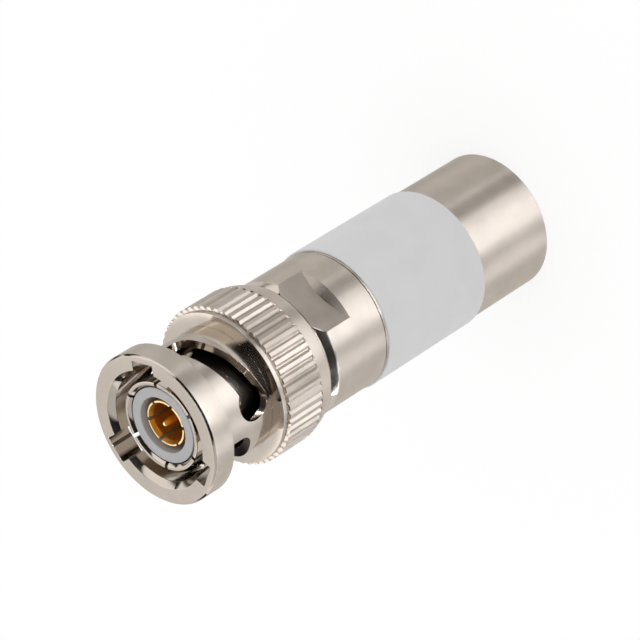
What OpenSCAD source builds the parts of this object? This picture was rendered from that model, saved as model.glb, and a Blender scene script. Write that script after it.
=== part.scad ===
// Triaxial terminator with a three-slot bayonet coupling nut.
// The part stands on its flat rear end, and the mating end points up.

/* [Barrel] */
// Outer diameter of the body and of the rear shell
barrel_d = 12.76; // [12:0.02:13.6]
// Length of the rear shell, from the rear end to the joint
shell_len = 21.75; // [19:0.25:30]
// Wall of the rear shell
shell_wall = 0.88; // [0.6:0.02:1.1]
// Chamfer on each side of the joint between shell and body
joint_chamfer = 0.1; // [0.05:0.01:0.2]
// Chamfer on the outer edge of the rear end
rear_chamfer = 0.08; // [0.04:0.01:0.3]
// Thickness of the end cap
cap_t = 1.6; // [1:0.1:2.4]

/* [Body] */
// Length of the body between the joint and its front shoulder
body_len = 7.15; // [6.6:0.05:10]
// Length of the spigot inside the rear shell
spigot_len = 3; // [2:0.1:5]
// Axial length of the front taper
taper_len = 1.1; // [0.6:0.05:1.6]
// How far the front taper comes in, on the radius
taper_in = 0.63; // [0.3:0.01:0.8]
// Size across the two wrench flats
flats_across = 11.32; // [11:0.02:12.2]
// Length of the wrench flats, from the front shoulder
flats_len = 4; // [2.5:0.1:5]
// Radius in the corner at the rear end of each flat
flats_corner = 0.65; // [0.1:0.05:0.8]
// Depth of the seat for the outer contact
seat_depth = 4; // [3.5:0.1:4.6]
// Thickness of the web behind the seat
web_t = 1; // [0.6:0.1:1.6]

/* [Label] */
// Distance of the label from the rear end
label_from_rear = 8.9; // [5:0.1:12]
// Length of the label along the barrel
label_len = 12.62; // [8:0.01:12.8]
// Thickness of the label
label_t = 0.17; // [0.08:0.01:0.3]
// Width of the seam where the wrapped label meets itself
label_seam = 0.3; // [0.1:0.05:0.8]

/* [Coupling nut] */
// Overall length of the nut
nut_len = 14.48; // [14.2:0.02:15.4]
// Diameter of the front rim
rim_d = 13.6; // [13.2:0.05:14.4]
// Length of the front rim
rim_len = 2.2; // [1.6:0.05:2.4]
// Chamfer on the front edge of the rim
rim_chamfer = 0.16; // [0.05:0.01:0.3]
// Diameter of the chamfer at the mouth
mouth_chamfer_d = 10.7; // [10.2:0.02:11.2]
// Bore that takes the mating shell
mouth_d = 9.7; // [9.5:0.02:9.9]
// Diameter of the neck with the cam slots
neck_d = 11.24; // [11:0.02:11.6]
// Radius of the fillet between the neck and the shoulder
neck_fillet = 0.15; // [0.05:0.05:0.5]
// Diameter of the shoulder land in front of the knurl
land_d = 13.76; // [13.5:0.02:13.96]
// Distance from the front of the nut to the shoulder land
land_from_front = 8.1; // [7.9:0.05:8.6]
// Length of the shoulder land
land_len = 0.4; // [0.2:0.05:0.8]
// Diameter over the knurl
knurl_d = 14.5; // [14.3:0.05:15.2]
// Axial length of the slope between the land and the knurl
knurl_lead = 0.06; // [0.02:0.02:0.4]
// Number of knurl ridges
knurl_count = 56; // [40:4:64]
// Depth of the knurl
knurl_depth = 0.2; // [0.12:0.02:0.3]
// Distance from the front of the nut to the rear end of the knurl
knurl_end = 12.65; // [11.5:0.05:12.8]
// Distance from the front of the nut to the start of the crowned band
crown_from = 12.5; // [11.5:0.05:13]
// Radius of the crowned band, in side view
crown_r = 6.5; // [5.4:0.1:9]
// Slope of the crowned band where it starts, in degrees
crown_slope = 10; // [4:1:14]
// Chamfer on the rear edge of the nut
nut_edge = 0.2; // [0.05:0.01:0.3]
// Thickness of the inner flange at the rear of the nut
nut_flange_t = 0.75; // [0.5:0.05:1]

/* [Cam slots] */
// Number of cam slots
slot_count = 3; // [2:1:3]
// Width of the cam slots and of their entry grooves
slot_w = 2.34; // [2:0.02:2.5]
// Distance from the axis to the floor of the entry grooves
entry_depth = 6.12; // [5.9:0.02:6.3]
// Distance from the front of the nut to the turn at the end of an entry groove
entry_len = 4.46; // [4:0.02:4.8]
// Angle from the entry groove to the centre of the detent hole
slot_sweep = 81.2; // [70:0.2:84]
// Axial rise of the cam slot between the entry groove and the detent
slot_rise = 2.02; // [1.6:0.02:2.2]
// Diameter of the detent hole
detent_d = 3.14; // [2.8:0.02:3.2]
// How far the detent hole lies back towards the front from the end of the cam
detent_back = 0.32; // [0.1:0.02:0.5]
// Direction of the first entry groove about the axis
entry_angle = 35; // [0:1:119]

/* [Spring stack] */
// Thickness of the thrust washer
thrust_t = 0.25; // [0.15:0.01:0.4]
// Sheet thickness of a wave washer
wave_t = 0.12; // [0.08:0.01:0.2]
// Free height of a wave washer
wave_h = 0.5; // [0.4:0.02:0.6]
// Number of waves round a washer
wave_count = 3; // [3:1:5]

/* [Outer contact] */
// Outside diameter of the slotted front sleeve
collet_d = 8.1; // [7.9:0.02:8.3]
// Gap between the tines of the slotted sleeve and the insulator inside them
tine_gap = 0.08; // [0.04:0.01:0.12]
// Length of the front sleeve, from the flange to its tip
collet_len = 11; // [10:0.1:11.5]
// Number of slots in the outer contact
collet_slots = 6; // [4:1:8]
// Width of the slots in the outer contact
collet_slot_w = 0.32; // [0.2:0.02:0.6]
// Length of the slots in the outer contact
collet_slot_len = 4.8; // [4:0.1:6]
// Diameter of the rear sleeve, which the nut turns on
sleeve_d = 8.4; // [8.3:0.02:8.6]
// Thickness of the flange that carries the wave washers
contact_flange_t = 0.7; // [0.5:0.05:1]
// Thickness of the gasket
gasket_t = 0.8; // [0.5:0.05:1.2]

/* [Middle contact] */
// Outside diameter of the gold-plated middle contact
middle_d = 4.14; // [3.9:0.02:4.3]
// Wall of the middle contact
middle_wall = 0.32; // [0.25:0.01:0.45]
// Number of slots in the middle contact
middle_slots = 6; // [4:1:8]
// Length of the slots in the middle contact
middle_slot_len = 7; // [4:0.1:8]
// Width of the slots in the middle contact
middle_slot_w = 0.3; // [0.15:0.01:0.4]
// Diameter of its flange
middle_flange_d = 5.1; // [4.8:0.02:5.4]
// Thickness of its flange
middle_flange_t = 2; // [1:0.1:3]

/* [Insulators] */
// Diameter of the front of the outer insulator
insulator_d = 6.84; // [6.6:0.02:6.9]
// Diameter of the head of the outer insulator
head_d = 7.46; // [7.3:0.02:7.6]
// Length of the head of the outer insulator
head_len = 4; // [3:0.1:5]
// Diameter of the relief round the middle contact
relief_d = 5; // [4.6:0.05:5.4]
// Length of the bush behind the outer insulator
bush_t = 2.1; // [1.5:0.1:3]
// Length of the inner insulator that holds the pin
inner_insulator_len = 5; // [4:0.1:6]
// Length of the narrow end of the inner insulator's hole
pin_stop_len = 1; // [0.5:0.1:1.5]

/* [Centre pin] */
// Diameter of the free end of the pin
pin_d = 0.7; // [0.6:0.02:0.9]
// Diameter of the pin's rounded tip
pin_tip_d = 0.46; // [0.3:0.02:0.56]
// Length of the taper behind the rounded tip
pin_taper = 0.35; // [0.2:0.05:1]
// Diameter of the pin where it passes through the stop
pin_neck_d = 1.06; // [1.02:0.02:1.1]
// Diameter of the pin's rear barrel
pin_barrel_d = 1.24; // [1.16:0.02:1.4]
// Depth of the solder cup in the pin's rear end
cup_depth = 2.5; // [1.5:0.1:3]
// Length of the pin's barrel behind the inner insulator
barrel_behind = 3; // [2:0.1:3.5]

/* [Front faces] */
// How far the outer insulator lies behind the tip of the outer contact
insulator_recess = 0.2; // [0.05:0.01:0.6]
// How far the middle contact lies behind the tip of the outer contact
middle_recess = 0.55; // [0.2:0.01:1]
// How far the pin lies behind the tip of the outer contact
pin_recess = 0.35; // [0.1:0.01:2]

/* [Inner shield] */
// Outside diameter of the inner shield
shield_d = 6; // [5.8:0.05:6.2]
// Wall of the inner shield
shield_wall = 0.4; // [0.25:0.01:0.6]
// Thickness of its closed front end
shield_front_t = 1.2; // [0.8:0.1:2]
// Gap between the front of the inner shield and the seat in the body
shield_gap = 0.5; // [0.3:0.1:0.8]
// Thickness of the disc that closes the inner shield
shield_cap_t = 1; // [0.6:0.1:1.6]
// Wall of the tube that insulates the inner shield
insulation_wall = 0.82; // [0.5:0.02:1]
// Thickness of the rear spacer
spacer_t = 3.6; // [2.8:0.1:4.5]
// Depth of the seat in the rear spacer for the insulating tube
spacer_seat = 0.7; // [0.4:0.1:1]
// Gap between the rear spacer and the inner shield
spacer_gap = 0.8; // [0.6:0.1:1.2]

/* [Resistor] */
// Diameter of the resistor's ceramic rod
resistor_d = 2.3; // [1.8:0.05:2.6]
// Length of the ceramic rod
resistor_len = 6.3; // [5:0.1:7]
// Wall of the resistor's end caps
end_cup_wall = 0.12; // [0.08:0.01:0.2]
// Length of the resistor's end caps
end_cup_len = 1.25; // [0.8:0.05:1.6]
// Diameter of the leads
lead_d = 0.6; // [0.5:0.02:0.62]
// Wall of the shrink sleeve over the resistor
shrink_wall = 0.16; // [0.1:0.01:0.3]
// Diameter of the solder joint
solder_d = 1.8; // [1.4:0.05:2.4]
// Height of the solder joint
solder_h = 0.7; // [0.4:0.05:0.8]

/* [Hidden] */
$fn = 96;
// Radial clearance between pieces that are pressed or pushed together
fit = 0.02;
// Radial clearance where the nut and the thrust washer run
run_fit = 0.05;
// Clearance between loose flat faces
face_gap = 0.01;
// Radial clearance between the nut's bore and what stands in it
bore_gap = 0.1;
// Extra length of a cut past the face that it opens
over = 1;
// Height of the step that centres the gasket
gasket_step = 0.2;
// Gap between the inner shield and the web of the body
web_gap = 0.2;
// Solid length of the outer contact between its slots and its insulator
tine_root = 0.6;
// Chamfer inside the tips of the outer contact
tine_lead = 0.24;
// How far the inner insulator lies behind the slots of the middle contact
insulator_back = 1.6;
// Turn of each set of slots about the axis
collet_turn = 30.5;
middle_turn = 4.7;
// Direction of the label's seam about the axis
seam_angle = 158;
// Edge break at the rear of the nut's rim
rim_break = 0.05;
// Shares of a knurl ridge that its flat crest and its flat root take up
crest_share = 0.4;
root_share = 0.12;
// Turn of the knurl about the axis
knurl_turn = 2.4;

// Radii of the barrel
barrel_r = barrel_d / 2;
shell_bore_r = barrel_r - shell_wall;

// Heights along the axis, from the rear end up
shell_top = shell_len;
body_top = shell_top + body_len;
seat_z = body_top - seat_depth;
nut_bottom = body_top + fit;
nut_top = nut_bottom + nut_len;
thrust_bottom = nut_bottom + nut_flange_t + face_gap;
wave_rear_bottom = thrust_bottom + thrust_t + face_gap;
wave_front_bottom = wave_rear_bottom + wave_h + face_gap;
contact_flange_bottom = wave_front_bottom + wave_h + face_gap;
contact_flange_top = contact_flange_bottom + contact_flange_t;
tip_z = contact_flange_top + collet_len;
insulator_bottom = seat_z + bush_t;
head_top = insulator_bottom + head_len;
insulator_top = tip_z - insulator_recess;
middle_top = tip_z - middle_recess;
pin_top = tip_z - pin_recess;
shield_top = seat_z - shield_gap;
spacer_top = cap_t + spacer_t;
shield_bottom = spacer_top + spacer_gap;
insulation_bottom = spacer_top - spacer_seat;
insulation_top = seat_z - web_t;
tail_bottom = shield_top - shield_front_t;

// Radii about the axis
collet_r = collet_d / 2;
sleeve_r = sleeve_d / 2;
mouth_r = mouth_d / 2;
gasket_seat_r = collet_r + gasket_step;
contact_flange_r = mouth_r - bore_gap;
middle_r = middle_d / 2;
middle_bore_r = middle_r - middle_wall;
middle_flange_r = middle_flange_d / 2;
insulator_r = insulator_d / 2;
collet_bore_r = insulator_r + tine_gap;
head_r = head_d / 2;
shield_r = shield_d / 2;
shield_bore_r = shield_r - shield_wall;
insulation_r = shield_r + fit + insulation_wall;
knurl_r = knurl_d / 2;
band_r = knurl_r - 0.05;
land_r = land_d / 2;
neck_r = neck_d / 2;
rim_r = rim_d / 2;
lead_r = lead_d / 2;
pin_barrel_r = pin_barrel_d / 2;
pin_neck_r = pin_neck_d / 2;

// Centre of the arc that crowns the rear of the nut, with height 0 at the nut's front face
crown_centre_r = band_r - crown_r * cos(crown_slope);
crown_centre_z = -crown_from + crown_r * sin(crown_slope);

// The tines of both slotted contacts start behind their slots
collet_slot_bottom = tip_z - collet_slot_len;
middle_slot_bottom = middle_top - middle_slot_len;
relief_bottom = middle_slot_bottom;
tine_relief_bottom = collet_slot_bottom - tine_root;
inner_insulator_top = middle_slot_bottom - insulator_back;
inner_insulator_bottom = inner_insulator_top - inner_insulator_len;
pin_bottom = inner_insulator_bottom - barrel_behind;

// The resistor sits half way along the inner shield
resistor_mid = (tail_bottom + shield_bottom + shield_cap_t) / 2;
resistor_r = resistor_d / 2;
end_cup_r = resistor_r + fit + end_cup_wall;
cup_end_half = resistor_len / 2 + fit + end_cup_wall;
lead_end_gap = 0.5;
lead_beyond = 1;

// A plain ring about the axis
module ring(r_in, r_out, z_low, z_high) {
    rotate_extrude()
        translate([r_in, z_low])
            square([r_out - r_in, z_high - z_low]);
}

// A solid turned from an outline of [radius, height] points
module turned(points) {
    rotate_extrude()
        polygon(points);
}

// A round bar about the axis
module bar(r, z_low, z_high) {
    translate([0, 0, z_low])
        cylinder(r = r, h = z_high - z_low);
}

// Evenly spaced saw cuts through one wall of a tube, open at the tip
module saw_cuts(count, width, r_in, r_out, z_low, z_high, turn) {
    for (i = [0 : count - 1])
        rotate([0, 0, turn + i * 360 / count])
            translate([r_in, -width / 2, z_low])
                cube([r_out - r_in, width, z_high - z_low]);
}

// Turned brass body: spigot, wrench flats and the seat for the contacts
module plug_body() {
    spigot_bottom = shell_top - spigot_len;
    spigot_r = shell_bore_r - fit;
    color([0.72, 0.68, 0.63])
        difference() {
            turned([
                [0, spigot_bottom],
                [spigot_r, spigot_bottom],
                [spigot_r, shell_top],
                [barrel_r - joint_chamfer, shell_top],
                [barrel_r, shell_top + joint_chamfer],
                [barrel_r, body_top - taper_len],
                [barrel_r - taper_in, body_top],
                [0, body_top]
            ]);
            bar(sleeve_r + fit, seat_z, body_top + over);
            bar(shield_r + web_gap, insulation_top - over, seat_z + over);
            bar(insulation_r + fit, spigot_bottom - over, insulation_top);
            wrench_flats();
        }
}

// Two parallel cuts that leave the wrench flats
module wrench_flats() {
    for (side = [0, 180])
        rotate([0, 0, side])
            translate([flats_across / 2, barrel_r, body_top - flats_len])
                rotate([90, 0, 0])
                    linear_extrude(height = barrel_d)
                        flat_profile();
}

// What one flat takes off the body, seen along the flat
module flat_profile() {
    translate([flats_corner, 0])
        square([barrel_r, flats_len + over]);
    translate([0, flats_corner])
        square([barrel_r, flats_len + over - flats_corner]);
    translate([flats_corner, flats_corner])
        circle(r = flats_corner);
}

// Tube that closes the back of the connector
module rear_shell() {
    color([0.72, 0.68, 0.63])
        turned([
            [shell_bore_r, 0],
            [barrel_r - rear_chamfer, 0],
            [barrel_r, rear_chamfer],
            [barrel_r, shell_top - joint_chamfer],
            [barrel_r - joint_chamfer, shell_top],
            [shell_bore_r, shell_top]
        ]);
}

// Disc pressed into the rear end of the shell
module end_cap() {
    color([0.7, 0.66, 0.61])
        bar(shell_bore_r - fit, 0, cap_t);
}

// White wrap with its seam on the far side
module label() {
    label_r = barrel_r + fit / 2;
    color([0.9, 0.9, 0.91])
        difference() {
            ring(label_r, label_r + label_t, label_from_rear, label_from_rear + label_len);
            rotate([0, 0, seam_angle])
                translate([label_r - over, -label_seam / 2, label_from_rear - over])
                    cube([label_t + 2 * over, label_seam, label_len + 2 * over]);
        }
}

// Slotted outer contact, turned with its flange and its rear sleeve
module outer_contact() {
    edge = 0.08;
    color([0.76, 0.73, 0.68])
        difference() {
            turned([
                [head_r + fit, seat_z],
                [sleeve_r, seat_z],
                [sleeve_r, contact_flange_bottom],
                [contact_flange_r, contact_flange_bottom],
                [contact_flange_r, contact_flange_top],
                [gasket_seat_r, contact_flange_top],
                [gasket_seat_r, contact_flange_top + gasket_t],
                [collet_r, contact_flange_top + gasket_t],
                [collet_r, tip_z - edge],
                [collet_r - edge, tip_z],
                [collet_bore_r + tine_lead, tip_z],
                [collet_bore_r, tip_z - tine_lead],
                [collet_bore_r, tine_relief_bottom],
                [insulator_r + fit, tine_relief_bottom],
                [insulator_r + fit, head_top],
                [head_r + fit, head_top]
            ]);
            saw_cuts(collet_slots, collet_slot_w, collet_bore_r - over, collet_r + over,
                collet_slot_bottom, tip_z + over, collet_turn);
        }
}

// Soft ring that the mating shell is pressed against
module gasket() {
    color([0.45, 0.2, 0.15])
        ring(gasket_seat_r + fit, mouth_r - 1.5 * bore_gap, contact_flange_top,
            contact_flange_top + gasket_t);
}

// White insulator between the outer contact and the middle contact
module outer_insulator() {
    edge = 0.15;
    color([0.86, 0.89, 0.92])
        turned([
            [middle_flange_r + fit, insulator_bottom],
            [head_r, insulator_bottom],
            [head_r, head_top],
            [insulator_r, head_top],
            [insulator_r, insulator_top - edge],
            [insulator_r - edge, insulator_top],
            [relief_d / 2 + edge, insulator_top],
            [relief_d / 2, insulator_top - edge],
            [relief_d / 2, relief_bottom],
            [middle_r + fit, relief_bottom],
            [middle_r + fit, insulator_bottom + middle_flange_t],
            [middle_flange_r + fit, insulator_bottom + middle_flange_t]
        ]);
}

// Bush that holds the insulator and the middle contact from behind
module insulator_bush() {
    color([0.82, 0.82, 0.8])
        ring(middle_r + fit, head_r, seat_z, insulator_bottom);
}

// Gold-plated slotted tube with a flange and a tail for the inner shield
module intermediate_contact() {
    edge = 0.08;
    color([0.85, 0.62, 0.28])
        difference() {
            turned([
                [middle_bore_r, tail_bottom],
                [middle_r, tail_bottom],
                [middle_r, insulator_bottom],
                [middle_flange_r, insulator_bottom],
                [middle_flange_r, insulator_bottom + middle_flange_t],
                [middle_r, insulator_bottom + middle_flange_t],
                [middle_r, middle_top - edge],
                [middle_r - edge, middle_top],
                [middle_bore_r, middle_top]
            ]);
            saw_cuts(middle_slots, middle_slot_w, middle_bore_r - middle_wall,
                middle_r + over, middle_slot_bottom, middle_top + over, middle_turn);
        }
}

// White insulator that holds the pin inside the middle contact
module inner_insulator() {
    r = middle_bore_r - fit;
    stop_z = inner_insulator_top - pin_stop_len;
    color([0.86, 0.89, 0.92])
        turned([
            [pin_barrel_r + fit, inner_insulator_bottom],
            [r, inner_insulator_bottom],
            [r, inner_insulator_top],
            [pin_neck_r + fit, inner_insulator_top],
            [pin_neck_r + fit, stop_z],
            [pin_barrel_r + fit, stop_z]
        ]);
}

// Gold-plated centre pin with a rounded tip and a solder cup
module center_pin() {
    pin_r = pin_d / 2;
    tip_r = pin_tip_d / 2;
    ball_z = pin_top - tip_r;
    stop_z = inner_insulator_top - pin_stop_len;
    color([0.85, 0.62, 0.28])
        difference() {
            union() {
                bar(pin_barrel_r, pin_bottom, stop_z);
                bar(pin_neck_r, stop_z - over, inner_insulator_top);
                bar(pin_r, inner_insulator_top - over, ball_z - pin_taper);
                translate([0, 0, ball_z - pin_taper])
                    cylinder(r1 = pin_r, r2 = tip_r, h = pin_taper);
                translate([0, 0, ball_z])
                    sphere(r = tip_r);
            }
            bar(lead_r + fit, pin_bottom - over, pin_bottom + cup_depth);
        }
}

// Tube on the tail of the middle contact, which holds the resistor
module inner_shield() {
    color([0.8, 0.68, 0.4])
        turned([
            [shield_bore_r, shield_bottom],
            [shield_r, shield_bottom],
            [shield_r, shield_top],
            [middle_r + fit, shield_top],
            [middle_r + fit, tail_bottom],
            [shield_bore_r, tail_bottom]
        ]);
}

// Disc that closes the inner shield and takes the rear lead
module inner_shield_cap() {
    color([0.8, 0.68, 0.4])
        ring(lead_r + fit, shield_bore_r - fit, shield_bottom, shield_bottom + shield_cap_t);
}

// Tube that keeps the inner shield off the body and the shell
module shield_insulator() {
    color([0.9, 0.91, 0.92])
        ring(shield_r + fit, insulation_r, insulation_bottom, insulation_top);
}

// Block that centres the insulating tube in the rear of the shell
module rear_spacer() {
    r = shell_bore_r - fit;
    ledge = 0.2;
    pocket_depth = 1;
    pocket_r = shield_bore_r - ledge;
    pocket_z = insulation_bottom - pocket_depth;
    color([0.88, 0.88, 0.86])
        turned([
            [0, cap_t],
            [r, cap_t],
            [r, spacer_top],
            [insulation_r + fit, spacer_top],
            [insulation_r + fit, insulation_bottom],
            [pocket_r, insulation_bottom],
            [pocket_r, pocket_z],
            [0, pocket_z]
        ]);
}

// Ceramic rod of the resistor
module resistor_body() {
    color([0.35, 0.55, 0.62])
        bar(resistor_r, resistor_mid - resistor_len / 2, resistor_mid + resistor_len / 2);
}

// Cup pressed on an end of the rod: side is 1 at the front and -1 at the rear
module end_cup(side) {
    translate([0, 0, resistor_mid])
        mirror([0, 0, side > 0 ? 0 : 1])
            turned([
                [resistor_r + fit, cup_end_half - end_cup_len],
                [end_cup_r, cup_end_half - end_cup_len],
                [end_cup_r, cup_end_half],
                [0, cup_end_half],
                [0, resistor_len / 2 + fit],
                [resistor_r + fit, resistor_len / 2 + fit]
            ]);
}

module resistor_cap_front() {
    color([0.75, 0.74, 0.72])
        end_cup(1);
}

module resistor_cap_rear() {
    color([0.75, 0.74, 0.72])
        end_cup(-1);
}

// Lead between the front cap and the solder cup of the pin
module resistor_lead_front() {
    color([0.8, 0.78, 0.75])
        bar(lead_r, resistor_mid + cup_end_half, pin_bottom + cup_depth - lead_end_gap);
}

// Lead between the rear cap and the solder joint
module resistor_lead_rear() {
    color([0.8, 0.78, 0.75])
        bar(lead_r, shield_bottom - lead_beyond, resistor_mid - cup_end_half);
}

// Shrink sleeve over the resistor and its caps
module resistor_sleeve() {
    beyond = 0.5;
    half = cup_end_half + beyond;
    color([0.12, 0.12, 0.12])
        ring(end_cup_r + fit, end_cup_r + fit + shrink_wall, resistor_mid - half,
            resistor_mid + half);
}

// Solder cone round the rear lead, under the disc
module solder_joint() {
    r_in = lead_r + fit / 2;
    tip_wall = 0.12;
    color([0.7, 0.7, 0.7])
        turned([
            [r_in, shield_bottom - solder_h],
            [r_in + tip_wall, shield_bottom - solder_h],
            [solder_d / 2, shield_bottom],
            [r_in, shield_bottom]
        ]);
}

// Wave washer: a flat strip whose height follows a cosine round the axis
module wave_washer(z_low, phase) {
    steps = 48;
    r_in = sleeve_r + 2 * run_fit;
    r_out = mouth_r - 1.5 * bore_gap;
    swing = (wave_h - wave_t) / 2;
    mid = z_low + wave_h / 2;
    corners = [[r_in, -wave_t / 2], [r_out, -wave_t / 2], [r_out, wave_t / 2], [r_in, wave_t / 2]];
    points = [
        for (i = [0 : steps - 1], c = corners)
            let (a = i * 360 / steps, lift = swing * cos(wave_count * a + phase))
                [c[0] * cos(a), c[0] * sin(a), mid + lift + c[1]]
    ];
    faces = [
        for (i = [0 : steps - 1], k = [0 : 3])
            let (j = (i + 1) % steps, m = (k + 1) % 4)
                [i * 4 + k, i * 4 + m, j * 4 + m, j * 4 + k]
    ];
    polyhedron(points = points, faces = faces);
}

module wave_washer_front() {
    color([0.6, 0.58, 0.55])
        wave_washer(wave_front_bottom, 0);
}

module wave_washer_rear() {
    color([0.6, 0.58, 0.55])
        wave_washer(wave_rear_bottom, 180);
}

// Flat washer between the wave washers and the flange of the nut
module thrust_washer() {
    color([0.65, 0.63, 0.6])
        ring(sleeve_r + run_fit, mouth_r - bore_gap, thrust_bottom, thrust_bottom + thrust_t);
}

// Bayonet nut: rim, neck with cam slots, flat shoulder, knurl and crowned rear
module coupling_nut() {
    color([0.74, 0.7, 0.65])
        translate([0, 0, nut_top])
            difference() {
                rotate_extrude()
                    nut_outline();
                knurl_grooves();
                for (i = [0 : slot_count - 1])
                    rotate([0, 0, entry_angle + i * 360 / slot_count])
                        cam_slot();
            }
}

// Half section of the nut, with height 0 at its front face
module nut_outline() {
    flange_r = sleeve_r + run_fit;
    flange_z = -nut_len + nut_flange_t;
    land_z = -land_from_front;
    knurl_z = land_z - land_len - knurl_lead;
    neck_z = land_z + neck_fillet;
    mouth_chamfer_r = mouth_chamfer_d / 2;
    difference() {
        polygon([
            [flange_r, -nut_len],
            [band_r, -nut_len],
            [band_r, -crown_from],
            [knurl_r, -crown_from],
            [knurl_r, knurl_z],
            [land_r, land_z - land_len],
            [land_r, neck_z],
            [neck_r, neck_z],
            [neck_r, -rim_len],
            [rim_r - rim_break, -rim_len],
            [rim_r, -rim_len + rim_break],
            [rim_r, -rim_chamfer],
            [rim_r - rim_chamfer, 0],
            [mouth_chamfer_r, 0],
            [mouth_r, mouth_r - mouth_chamfer_r],
            [mouth_r, flange_z],
            [flange_r, flange_z]
        ]);
        fillet_cut(neck_z);
        crown_cut();
        edge_cut();
    }
}

// Round corner between the neck and the flat shoulder
module fillet_cut(neck_z) {
    centre_r = neck_r + neck_fillet;
    translate([centre_r, neck_z])
        circle(r = neck_fillet);
    translate([centre_r, neck_z - neck_fillet])
        square([land_r + over - centre_r, 2 * neck_fillet]);
}

// What the crown takes off the rear of the nut
module crown_cut() {
    difference() {
        translate([mouth_r, -nut_len - over])
            square([band_r + over - mouth_r, nut_len + over - crown_from]);
        translate([crown_centre_r, crown_centre_z])
            circle(r = crown_r);
    }
}

// Chamfer where the crown meets the rear face
module edge_cut() {
    reach = crown_centre_z + nut_len;
    start_r = crown_centre_r + sqrt(crown_r * crown_r - reach * reach) - nut_edge;
    polygon([
        [start_r, -nut_len],
        [start_r + over, -nut_len],
        [start_r + over, -nut_len + over]
    ]);
}

// All knurl grooves as one cutter, fading out towards the crowned band
module knurl_grooves() {
    root_r = knurl_r - knurl_depth;
    crest_r = knurl_r - 0.01;
    pitch = 360 / knurl_count;
    half_root = pitch * root_share / 2;
    half_crest = pitch * crest_share / 2;
    grooves_z = -land_from_front - land_len;
    fade = 0.15;
    ridges = [
        for (i = [0 : knurl_count - 1])
            for (corner = [
                [-half_root, root_r],
                [half_root, root_r],
                [pitch / 2 - half_crest, crest_r],
                [pitch / 2 + half_crest, crest_r]
            ])
                let (a = knurl_turn + i * pitch + corner[0])
                    corner[1] * [cos(a), sin(a)]
    ];
    difference() {
        translate([0, 0, -knurl_end])
            linear_extrude(height = knurl_end + grooves_z)
                difference() {
                    circle(r = knurl_r + over);
                    polygon(ridges);
                }
        translate([0, 0, -knurl_end])
            cylinder(r1 = band_r, r2 = root_r, h = fade);
    }
}

// Entry groove, inclined cam and detent hole, with the entry groove along X
module cam_slot() {
    half = slot_sweep / 2;
    reach = entry_depth + 2 * over;
    rim_reach = entry_depth - collet_r;
    cam_mid = -entry_len - slot_rise / 2;
    run = 2 * neck_r * sin(half);
    tilt = atan2(slot_rise, run);
    translate([collet_r, -slot_w / 2, -entry_len])
        cube([rim_reach, slot_w, entry_len + over]);
    translate([collet_r, 0, -entry_len])
        rotate([0, 90, 0])
            cylinder(r = slot_w / 2, h = rim_reach);
    rotate([0, 0, -half])
        translate([reach / 2 + 2 * over, 0, cam_mid])
            rotate([tilt, 0, 0])
                cube([reach, run / cos(tilt), slot_w], center = true);
    rotate([0, 0, -slot_sweep])
        translate([collet_r, 0, -entry_len - slot_rise + detent_back])
            rotate([0, 90, 0])
                cylinder(r = detent_d / 2, h = reach - collet_r);
}

plug_body();
rear_shell();
end_cap();
label();
outer_contact();
gasket();
outer_insulator();
insulator_bush();
intermediate_contact();
inner_insulator();
center_pin();
inner_shield();
inner_shield_cap();
shield_insulator();
rear_spacer();
resistor_body();
resistor_cap_front();
resistor_cap_rear();
resistor_lead_front();
resistor_lead_rear();
resistor_sleeve();
solder_joint();
wave_washer_front();
wave_washer_rear();
thrust_washer();
coupling_nut();
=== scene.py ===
"""A triaxial terminator standing on its rear end, seen from the photograph's angle."""

from math import asin, atan2, cos, pi, radians, sin, tan

import bpy
from mathutils import Matrix, Vector


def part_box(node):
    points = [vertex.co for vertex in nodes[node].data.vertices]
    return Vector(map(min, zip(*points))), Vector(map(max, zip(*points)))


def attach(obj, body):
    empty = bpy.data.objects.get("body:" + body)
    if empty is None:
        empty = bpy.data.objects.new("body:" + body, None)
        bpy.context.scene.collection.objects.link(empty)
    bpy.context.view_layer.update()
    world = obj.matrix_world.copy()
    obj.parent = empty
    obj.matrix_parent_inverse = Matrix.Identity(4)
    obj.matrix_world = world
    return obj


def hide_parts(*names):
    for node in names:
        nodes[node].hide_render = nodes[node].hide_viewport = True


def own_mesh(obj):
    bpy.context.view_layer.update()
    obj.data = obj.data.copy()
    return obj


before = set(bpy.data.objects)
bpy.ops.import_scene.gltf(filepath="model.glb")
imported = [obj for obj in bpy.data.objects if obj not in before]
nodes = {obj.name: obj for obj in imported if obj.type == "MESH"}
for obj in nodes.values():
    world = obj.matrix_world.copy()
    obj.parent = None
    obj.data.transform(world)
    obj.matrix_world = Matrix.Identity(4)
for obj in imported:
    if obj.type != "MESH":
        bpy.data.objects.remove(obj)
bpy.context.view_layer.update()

# Camera
# The view was worked out from the ellipses of the turned edges in the photograph. The terminator
# points down and to the left there, and one wrench flat faces a little to the left of the lens.
mm = 0.001
picture_px = 640
lens_px = 3485.7
sensor_mm = 36
nearest_seen = 0.01
face_from_lens = Vector((-13.4514, 8.9793, 283.2736)) * mm
axis_away = Vector((0.66069, -0.41138, 0.62790)).normalized()
flat_turn = radians(21.9)

nut_low, nut_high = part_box("coupling_nut")
front_z = nut_high.z / mm
up = -axis_away
nearest = (Vector((0, 0, -1)) + up * up.z).normalized()
flat_side = nearest * cos(flat_turn) + up.cross(nearest) * sin(flat_turn)
seen_axes = Matrix((flat_side, up.cross(flat_side), up))
foot_from_lens = face_from_lens + axis_away * nut_high.z
camera_axes = Matrix((seen_axes.col[0], -seen_axes.col[1], -seen_axes.col[2])).transposed()

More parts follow.
